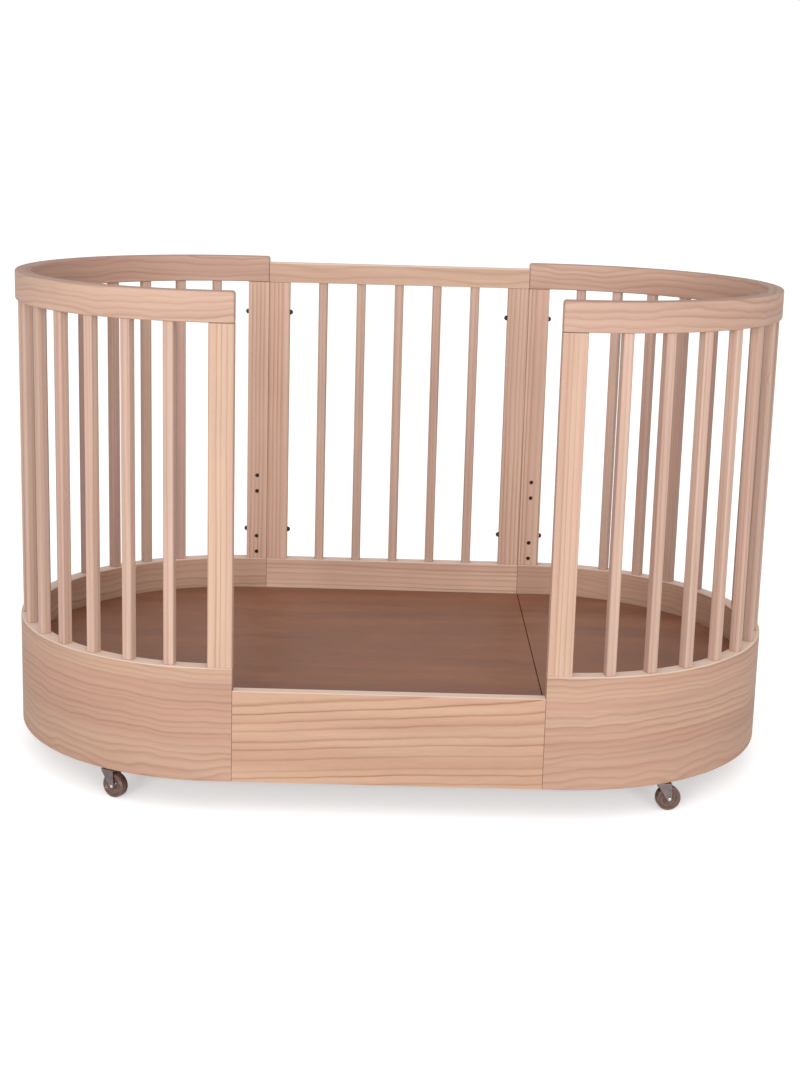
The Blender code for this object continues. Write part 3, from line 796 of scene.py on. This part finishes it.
def build_posts(edges):
    """The four end posts, drilled for bolts and for the base's sockets."""
    number = 0
    for name, side in SIDES:
        for row, row_side in ROWS:
            node = "%s_%s_post" % (name, row)
            centre = node_centre(node)
            turn = 0.0 if row_side < 0 else math.pi
            bm = upright(centre, turn, POST_WIDTH, STOCK, edges.post, 3)
            drills = bmesh.new()
            bolt_drills(drills, centre)
            for height in level_heights()[1:]:
                socket_pair(
                    drills, centre.x, row_side * (END_RADIUS - STOCK), row_side, height, DRILL_REACH)
            bm = drilled(bm, drills)
            start = log_place(31 + number, 0.048, 0.024)
            grain = upright_grain(Vector((centre.x, centre.y, 0)), turn, start)
            finish = "pine_post" if row == "front" else "pine_rear_post"
            add_piece(node + "_wood", bm, pine_finish(finish), "crib_frame", node, grain)
            number += 1


def build_stiles(edges):
    """The rear panel's two stiles, bolted to the rear posts."""
    for number, (name, _side) in enumerate(SIDES):
        node = "rear_panel_%s_stile" % name
        centre = node_centre(node)
        bm = upright(centre, math.pi, POST_WIDTH, STOCK, edges.post, 3)
        drills = bmesh.new()
        bolt_drills(drills, centre)
        bm = drilled(bm, drills)
        start = log_place(41 + number, 0.056, 0.020)
        grain = upright_grain(Vector((centre.x, centre.y, 0)), math.pi, start)
        add_piece(node + "_wood", bm, pine_finish("pine_rear_post"), "crib_frame", node, grain)


def build_slats(edges):
    """Every slat in the cot: those round the ends and those in the rear panel."""
    nodes = [n for n in sorted(frame["nodes"]) if "_slat_" in n]
    for number, node in enumerate(nodes):
        centre = node_centre(node)
        if node.startswith("rear_panel"):
            turn = math.pi
        else:
            side = 1 if centre.x > 0 else -1
            turn = math.atan2(centre.x - side * END_CENTRE_X, -centre.y)
        bm = upright(centre, turn, SLAT_WIDTH, SLAT_DEPTH, edges.slat, 4)
        start = log_place(51 + number, 0.030, 0.036)
        grain = upright_grain(Vector((centre.x, centre.y, 0)), turn, start)
        add_piece(node + "_wood", bm, pine_finish("pine_slat"), "crib_frame", node, grain)


# ---------------------------------------------------------- rails and boards

def level_board(low, high, top_radius, other_radius):
    """A straight board with its top edges rounded more than the rest."""
    bm = bmesh.new()
    block(bm, low, high)
    long_top = [e for e in edges_at(bm, high.z) if abs(e.verts[0].co.x - e.verts[1].co.x) > STOCK]
    rounded_edges(bm, long_top, top_radius)
    rounded_edges(bm, sharp_edges(bm, 60), other_radius, 2)
    return bm


def build_panel_rails(edges):
    for number, (node, finish, slot) in enumerate((
            ("rear_panel_top_rail", "pine_panel", "pine"),
            ("rear_panel_bottom_rail", "pine_low_panel", "pine_board"))):
        low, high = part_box(node)
        bm = level_board(low, high, edges.skirt, edges.seam)
        start = log_place(91 + number, 0.030 - low.z, 0.020)
        add_piece(node + "_wood", bm, pine_finish(finish), "crib_frame", node, level_grain(start, 0.004),
                  (high.z, edges.skirt))


def build_front_board(edges):
    low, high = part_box("front_low_board")
    bm = level_board(low, high, edges.seam * 1.5, edges.seam)
    start = Vector((LOG_STEP * 95, -high.z - 0.040, low.y + 0.060))
    add_piece("front_low_board_wood", bm, pine_finish("pine_front"), "crib_frame",
              "front_low_board", level_grain(start, -0.020, 0.060), (high.z, edges.seam * 1.5))


# ----------------------------------------------------------------------- base

def base_board(low, high, side, radius):
    """Half-round board on the side given, straight to its seam on the other."""
    bm = bmesh.new()
    reach = (high.y - low.y) / 2
    centre_x = (high.x - reach) if side > 0 else (low.x + reach)
    seam_x = low.x if side > 0 else high.x
    disc = bmesh.ops.create_circle(bm, cap_ends=True, segments=2 * ARC_STEPS, radius=reach)["verts"]
    bmesh.ops.translate(bm, vec=(centre_x, 0, low.z), verts=disc)
    bmesh.ops.bisect_plane(
        bm, geom=bm.verts[:] + bm.edges[:] + bm.faces[:], plane_co=(centre_x, 0, 0),
        plane_no=(-side, 0, 0), clear_outer=True)
    cut = [e for e in bm.edges if all(abs(v.co.x - centre_x) < MERGE for v in e.verts)]
    seam = new_verts(bmesh.ops.extrude_edge_only(bm, edges=cut))
    bmesh.ops.translate(bm, vec=(seam_x - centre_x, 0, 0), verts=seam)
    top = new_verts(bmesh.ops.extrude_face_region(bm, geom=bm.faces[:]))
    bmesh.ops.translate(bm, vec=(0, 0, high.z - low.z), verts=top)
    bmesh.ops.remove_doubles(bm, verts=bm.verts, dist=MERGE)
    bmesh.ops.recalc_face_normals(bm, faces=bm.faces)
    rounded_edges(bm, sharp_edges(bm), radius, 2)
    return bm


def build_base(edges):
    for node, side in (("base_board_main", -1), ("base_board_right", 1)):
        low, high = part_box(node)
        bm = base_board(low, high, side, edges.board)
        add_piece(node + "_sheet", bm, hardboard_finish(), "base", node)
    for number, (name, _side) in enumerate(SIDES):
        node = "base_beam_" + name
        low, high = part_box(node)
        bm = bmesh.new()
        block(bm, low, high)
        rounded_edges(bm, bm.edges[:], edges.skirt)
        start = log_place(97 + number, 0.03, 0.03)

        def grain(co, start=start):
            return start + Vector((co.y, co.x, co.z))
        add_piece(node + "_wood", bm, pine_finish("pine_beam"), "base", node, grain)


# ------------------------------------------------------------------- hardware
# Sizes of the bolts and inserts; outlines are (radius, depth) points.

WASHER_THICK = 0.0008
WASHER_EDGE = 0.0003
NUT_SHOULDER = 0.0002
KNURL_DEPTH = 0.93
NUT_SIDES = 32
NUT_TOP = ((0.80, 0.0004), (0.62, 0.0), (0.56, 0.0012), (0.30, 0.0004))
INSERT_SIDES = 20
INSERT_OUTLINE = (
    (0.0, 0.0065), (0.0024, 0.0065), (0.0024, 0.0022), (0.0027, 0.0018), (0.0036, 0.0018),
    (SOCKET_RADIUS - GAP, 0.0022), (SOCKET_RADIUS - GAP, 0.012), (0.0, 0.012))


def knurled_nut(bm, centre, direction, hardware):
    """Washer, knurled nut and bolt end, standing off a face along X."""
    made = bmesh.new()
    rim = hardware.washer_radius
    outline = ((0.0, GAP), (rim - WASHER_EDGE, GAP), (rim, GAP + WASHER_EDGE),
               (rim, WASHER_THICK), (hardware.nut_radius, WASHER_THICK + NUT_SHOULDER))
    turned(made, outline, NUT_SIDES)
    grown = bmesh.ops.extrude_edge_only(made, edges=[e for e in made.edges if e.is_boundary])
    ring = new_verts(grown)
    bmesh.ops.translate(made, vec=(0, 0, hardware.nut_height), verts=ring)
    for index, vert in enumerate(sorted(ring, key=lambda v: math.atan2(v.co.y, v.co.x))):
        if index % 2:
            vert.co.xy *= KNURL_DEPTH
    for scale, rise in NUT_TOP:
        grown = bmesh.ops.extrude_edge_only(made, edges=[e for e in made.edges if e.is_boundary])
        reach = hardware.nut_radius * scale
        for vert in new_verts(grown):
            angle = math.atan2(vert.co.y, vert.co.x)
            vert.co.x = reach * math.cos(angle)
            vert.co.y = reach * math.sin(angle)
            vert.co.z += rise
    bmesh.ops.contextual_create(made, geom=[e for e in made.edges if e.is_boundary])
    bmesh.ops.remove_doubles(made, verts=made.verts, dist=MERGE)
    turn = Vector((direction, 0, 0)).to_track_quat("Z", "Y").to_matrix().to_4x4()
    bmesh.ops.transform(made, matrix=Matrix.Translation(centre) @ turn, verts=made.verts)
    join_into(bm, made)


def build_junction_bolts(hardware):
    """Bolts that clamp each rear post to its stile, with a knurled nut at each end."""
    for name, side in SIDES:
        low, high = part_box("%s_rear_post" % name)
        stile_low, stile_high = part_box("rear_panel_%s_stile" % name)
        centre_y = (low.y + high.y) / 2
        left = min(low.x, stile_low.x)
        right = max(high.x, stile_high.x)
        for level, height in zip(("lower", "upper"), bolt_heights()):
            bm = bmesh.new()
            rod(bm, (left, centre_y, height), (1, 0, 0), right - left, BOLT_HOLE_RADIUS - GAP)
            knurled_nut(bm, Vector((left, centre_y, height)), -1, hardware)
            knurled_nut(bm, Vector((right, centre_y, height)), 1, hardware)
            add_piece("%s_%s_junction_bolt" % (name, level), bm, dark_steel_finish(), "crib_frame",
                      crease=25)


def build_socket_inserts():
    """Threaded inserts sunk in the posts' sockets, a row of four in each post."""
    for name, _side in SIDES:
        for row, row_side in ROWS:
            centre = node_centre("%s_%s_post" % (name, row))
            bm = bmesh.new()
            for height in level_heights()[1:]:
                for offset in (-SOCKET_PAIR / 2, SOCKET_PAIR / 2):
                    made = bmesh.new()
                    turned(made, INSERT_OUTLINE, INSERT_SIDES)
                    turn = Vector((0, row_side, 0)).to_track_quat("Z", "Y").to_matrix().to_4x4()
                    face_y = row_side * (END_RADIUS - STOCK)
                    place = Matrix.Translation((centre.x, face_y, height + offset)) @ turn
                    bmesh.ops.transform(made, matrix=place, verts=made.verts)
                    join_into(bm, made)
            add_piece("%s_%s_post_inserts" % (name, row), bm, dark_steel_finish(), "crib_frame",
                      crease=25)


# -------------------------------------------------------------------- casters
# A caster is modelled with its stem on Z, its axle along Y and its wheel
# trailing towards +X, from the stem axis at the axle's height.

TRAIL = 0.010
LEG_OFFSET = 0.0095
LEG_THICK = 0.002
LEG_TOP_WIDTH = 0.022
LEG_FOOT_RADIUS = 0.0045
BRIDGE_THICK = 0.0025
COLLAR_RADIUS = 0.010
STEM_RADIUS = 0.004
STEM_LENGTH = 0.030
COLLAR_HEIGHT = 0.002
STEM_SIDES = 40
LEG_EDGE = 0.0005
FOOT_ANGLES = tuple(math.radians(200 + 18 * step) for step in range(11))
AXLE_SIDES = 32
AXLE_HEAD = ((0.0, 0.0008), (0.0013, 0.0008), (0.0024, 0.0005), (0.0028, GAP / 2), (0.0020, GAP / 2))
WHEEL_SIDES = 64
WHEEL_HALF = 0.008
# Points of the wheel's side as (radius, how proud of the side), then of its
# tread as (radius past the tread, how proud of the side).
WHEEL_SIDE = (
    (0.0024, 0.0008), (0.0052, 0.0008), (0.0060, 0.0002), (0.0063, -0.0020), (0.0070, -0.0024),
    (0.0140, -0.0020), (0.0148, -0.0012), (0.0160, -0.0010), (0.0166, -0.0016), (0.0172, -0.0010),
    (0.0176, -0.0002), (0.0184, 0.0))
WHEEL_TREAD = ((-0.0012, -0.0003), (-0.0004, -0.0012), (0.0, -0.0026))


def joint_named(name):
    return next(j for j in frame["joints"] if j["name"] == name)


def caster_place(corner):
    """Matrix from a caster's own frame to the cot's, and the axle's height."""
    stem = Vector(joint_named("swivel_" + corner)["pos_m"])
    axle = Vector(joint_named("roll_" + corner)["pos_m"])
    turn = math.atan2(axle.y - stem.y, axle.x - stem.x)
    return Matrix.Translation((stem.x, stem.y, axle.z)) @ Matrix.Rotation(turn, 4, "Z"), axle.z


def build_wheels():
    for corner in CORNERS:
        node = "caster_wheel_" + corner
        place, height = caster_place(corner)
        side = [(radius, WHEEL_HALF + proud) for radius, proud in WHEEL_SIDE]
        side += [(height + past, WHEEL_HALF + proud) for past, proud in WHEEL_TREAD]
        bm = bmesh.new()
        turned(bm, both_sides(side) + side[:1], WHEEL_SIDES, "Y")
        bmesh.ops.translate(bm, vec=(TRAIL, 0, 0), verts=bm.verts)
        bmesh.ops.transform(bm, matrix=place, verts=bm.verts)
        inverse = place.inverted()

        def grain(co, inverse=inverse):
            own = inverse @ co
            x = own.x - TRAIL
            return Vector((math.hypot(x, own.z), 0.01 * math.atan2(own.z, x), own.y))
        add_piece(
            node + "_tread", bm, wheel_finish(), "wheel_" + corner, node, grain, crease=28)


def fork_leg(bm, side, top):
    """Side plate of the fork, wide at the top and round at the axle."""
    half = LEG_TOP_WIDTH / 2
    foot = [(TRAIL + LEG_FOOT_RADIUS * math.cos(angle), LEG_FOOT_RADIUS * math.sin(angle))
            for angle in FOOT_ANGLES]
    outline = [(-half, top), (-half, top - BRIDGE_THICK)] + foot
    outline += [(half + LEG_THICK, top - BRIDGE_THICK), (half + LEG_THICK, top)]
    y = side * LEG_OFFSET
    made = bmesh.new()
    face = made.faces.new([made.verts.new((x, y, z)) for x, z in outline])
    moved_face(made, face, (0, side * LEG_THICK, 0))
    bmesh.ops.recalc_face_normals(made, faces=made.faces)
    rounded_edges(made, sharp_edges(made, 60), LEG_EDGE, 2)
    join_into(bm, made)


def build_forks():
    for corner in CORNERS:
        node = "caster_fork_" + corner
        place, height = caster_place(corner)
        skirt = SKIRT_LOW.z - height
        top = skirt - GAP - COLLAR_HEIGHT
        bm = bmesh.new()
        for side in (-1, 1):
            fork_leg(bm, side, top)
        half = LEG_TOP_WIDTH / 2
        block(bm, (-half, -LEG_OFFSET, top - BRIDGE_THICK), (half + LEG_THICK, LEG_OFFSET, top))
        bmesh.ops.transform(bm, matrix=place, verts=bm.verts)
        add_piece(node + "_plates", bm, steel_finish(), "caster_" + corner, node, crease=25)
        bm = bmesh.new()
        outline = ((0.0, top), (COLLAR_RADIUS - 0.0006, top), (COLLAR_RADIUS, top + 0.0005),
                   (COLLAR_RADIUS, skirt - GAP - 0.0003), (COLLAR_RADIUS - 0.0004, skirt - GAP),
                   (STEM_RADIUS, skirt - GAP), (STEM_RADIUS, skirt + STEM_LENGTH - 0.001),
                   (STEM_RADIUS - 0.001, skirt + STEM_LENGTH), (0.0, skirt + STEM_LENGTH))
        turned(bm, outline, STEM_SIDES)
        bmesh.ops.transform(bm, matrix=place, verts=bm.verts)
        add_piece("caster_stem_" + corner, bm, steel_finish(), "caster_" + corner, crease=25)
        reach = LEG_OFFSET + LEG_THICK
        bm = bmesh.new()
        head = [(radius, reach + proud) for radius, proud in AXLE_HEAD]
        turned(bm, both_sides(head), AXLE_SIDES, "Y")
        bmesh.ops.translate(bm, vec=(TRAIL, 0, 0), verts=bm.verts)
        bmesh.ops.transform(bm, matrix=place, verts=bm.verts)
        add_piece(
            "caster_axle_" + corner, bm, bright_steel_finish(), "caster_" + corner, crease=25)


# ---------------------------------------------------------------------- stage

FLOOR_SIDES = 96
FLOOR_RADIUS = 0.5
FLOOR_RINGS = 4
FLOOR_GROWTH = 3.0
LIGHT_SIZE = 3.2
LIGHT_TARGET = Vector((0, 0, 0.4))
KEY_PLACE = Vector((-3.4, -8.4, 2.4))
FILL_PLACE = Vector((3.4, -8.4, 2.0))


def build_floor(stage):
    """A wide round floor that looks whiter to the camera than its light makes it."""
    bm = bmesh.new()
    bmesh.ops.create_circle(bm, cap_ends=True, segments=FLOOR_SIDES, radius=FLOOR_RADIUS)
    for _ring in range(FLOOR_RINGS):
        grown = bmesh.ops.extrude_edge_only(bm, edges=[e for e in bm.edges if e.is_boundary])
        bmesh.ops.scale(bm, vec=(FLOOR_GROWTH, FLOOR_GROWTH, 1), verts=new_verts(grown))
    mesh = bpy.data.meshes.new("floor")
    bm.to_mesh(mesh)
    bm.free()
    floor = bpy.data.objects.new("floor", mesh)
    bpy.context.scene.collection.objects.link(floor)
    colour = tuple(stage.floor)
    finish = mottled_finish("studio_floor", between(colour, 0.995), colour, 1.5, 0.9, 0.02, bump=0.0)
    shader = finish.node_tree.nodes["Principled BSDF"]
    light_path = finish.node_tree.nodes.new("ShaderNodeLightPath")
    finish.node_tree.links.new(light_path.outputs["Is Camera Ray"], shader.inputs["Emission Color"])
    shader.inputs["Emission Strength"].default_value = stage.floor_glow
    mesh.materials.append(finish)


def build_lights(stage):
    """Two far soft boxes beside the camera in a white surround."""
    for name, place, power in (
            ("key_light", KEY_PLACE, stage.key_power),
            ("fill_light", FILL_PLACE, stage.fill_power)):
        light = bpy.data.lights.new(name, "AREA")
        light.shape = "SQUARE"
        light.size = LIGHT_SIZE
        light.energy = power
        lamp = bpy.data.objects.new(name, light)
        lamp.location = place
        lamp.rotation_mode = "QUATERNION"
        lamp.rotation_quaternion = (LIGHT_TARGET - place).to_track_quat("-Z", "Y")
        bpy.context.scene.collection.objects.link(lamp)
    world = bpy.data.worlds.new("surround")
    world.use_nodes = True
    bench = NodeBench(world.node_tree)
    seen = bench.add("ShaderNodeLightPath").outputs["Is Camera Ray"]
    strength = bench.stretch(seen, 0.0, 1.0, stage.sky, 1.0, smooth=False)
    backdrop = world.node_tree.nodes["Background"]
    backdrop.inputs["Color"].default_value = (1.0, 1.0, 1.0, 1.0)
    world.node_tree.links.new(strength, backdrop.inputs["Strength"])
    bpy.context.scene.world = world
    bpy.context.scene.view_settings.view_transform = "Standard"


def build_camera(stage):
    forward = Vector((
        math.sin(stage.yaw) * math.cos(stage.pitch), math.cos(stage.yaw) * math.cos(stage.pitch),
        -math.sin(stage.pitch)))
    level_right = Vector((math.cos(stage.yaw), -math.sin(stage.yaw), 0))
    level_up = level_right.cross(forward)
    right = math.cos(stage.roll) * level_right + math.sin(stage.roll) * level_up
    up = math.cos(stage.roll) * level_up - math.sin(stage.roll) * level_right
    data = bpy.data.cameras.new("camera")
    data.lens = stage.lens
    data.sensor_width = 36.0
    data.shift_y = stage.shift
    camera = bpy.data.objects.new("camera", data)
    turn = Matrix((right, up, -forward)).transposed().to_4x4()
    camera.matrix_world = Matrix.Translation(stage.eye) @ turn
    bpy.context.scene.collection.objects.link(camera)
    bpy.context.scene.camera = camera


# ------------------------------------------------------------------ operators

class COT_OT_end_rails(Operator):
    """Bend the two top rails round the ends"""
    bl_idname = "cot.end_rails"
    bl_label = "End Rails"

    def execute(self, context):
        build_end_rails(context.scene.cot_edges)
        return {"FINISHED"}


class COT_OT_end_skirts(Operator):
    """Bend the two low end boards"""
    bl_idname = "cot.end_skirts"
    bl_label = "End Skirts"

    def execute(self, context):
        build_end_skirts(context.scene.cot_edges)
        return {"FINISHED"}


class COT_OT_posts(Operator):
    """Make the drilled end posts and the rear panel's stiles"""
    bl_idname = "cot.posts"
    bl_label = "Posts and Stiles"

    def execute(self, context):
        build_posts(context.scene.cot_edges)
        build_stiles(context.scene.cot_edges)
        return {"FINISHED"}


class COT_OT_slats(Operator):
    """Make every slat of the ends and the rear panel"""
    bl_idname = "cot.slats"
    bl_label = "Slats"

    def execute(self, context):
        build_slats(context.scene.cot_edges)
        return {"FINISHED"}


class COT_OT_panel_rails(Operator):
    """Make the rear panel's top and bottom rails"""
    bl_idname = "cot.panel_rails"
    bl_label = "Rear Panel Rails"

    def execute(self, context):
        build_panel_rails(context.scene.cot_edges)
        return {"FINISHED"}


class COT_OT_front_board(Operator):
    """Make the low board across the open front"""
    bl_idname = "cot.front_board"
    bl_label = "Front Board"

    def execute(self, context):
        build_front_board(context.scene.cot_edges)
        return {"FINISHED"}


class COT_OT_base(Operator):
    """Make the base boards and the beams under them"""
    bl_idname = "cot.base"
    bl_label = "Base"

    def execute(self, context):
        build_base(context.scene.cot_edges)
        return {"FINISHED"}


class COT_OT_fixings(Operator):
    """Make the junction bolts and the threaded inserts"""
    bl_idname = "cot.fixings"
    bl_label = "Bolts and Inserts"

    def execute(self, context):
        build_junction_bolts(context.scene.cot_hardware)
        build_socket_inserts()
        return {"FINISHED"}


class COT_OT_casters(Operator):
    """Make the four casters: wheels, forks, stems and axles"""
    bl_idname = "cot.casters"
    bl_label = "Casters"

    def execute(self, context):
        build_wheels()
        build_forks()
        return {"FINISHED"}


class COT_OT_stage(Operator):
    """Set the floor, the lights and the camera"""
    bl_idname = "cot.stage"
    bl_label = "Stage"

    def execute(self, context):
        build_floor(context.scene.cot_stage)
        build_lights(context.scene.cot_stage)
        build_camera(context.scene.cot_stage)
        return {"FINISHED"}


OPERATORS = (
    COT_OT_end_rails, COT_OT_end_skirts, COT_OT_posts, COT_OT_slats, COT_OT_panel_rails,
    COT_OT_front_board, COT_OT_base, COT_OT_fixings, COT_OT_casters, COT_OT_stage)
SETTINGS = (
    ("cot_edges", CotEdges), ("cot_pine", CotPine), ("cot_hardware", CotHardware), ("cot_stage", CotStage))


class COT_PT_sidebar(Panel):
    """Lists the cot's operators and settings"""
    bl_label = "Oval Pine Cot"
    bl_idname = "COT_PT_sidebar"
    bl_space_type = "VIEW_3D"
    bl_region_type = "UI"
    bl_category = "Cot"

    def draw(self, context):
        layout = self.layout
        for name, group in SETTINGS:
            box = layout.box()
            for key in group.__annotations__:
                box.prop(getattr(context.scene, name), key)
        for operator in OPERATORS:
            layout.operator(operator.bl_idname)


def register():
    for name, group in SETTINGS:
        bpy.utils.register_class(group)
        setattr(bpy.types.Scene, name, PointerProperty(type=group))
    for item in OPERATORS + (COT_PT_sidebar,):
        bpy.utils.register_class(item)


def unregister():
    for item in reversed(OPERATORS + (COT_PT_sidebar,)):
        bpy.utils.unregister_class(item)
    for name, group in reversed(SETTINGS):
        delattr(bpy.types.Scene, name)
        bpy.utils.unregister_class(group)


def main():
    register()
    bpy.ops.cot.end_rails()
    bpy.ops.cot.end_skirts()
    bpy.ops.cot.posts()
    bpy.ops.cot.slats()
    bpy.ops.cot.panel_rails()
    bpy.ops.cot.front_board()
    bpy.ops.cot.base()
    bpy.ops.cot.fixings()
    bpy.ops.cot.casters()
    bpy.ops.cot.stage()


if __name__ == "__main__":
    main()
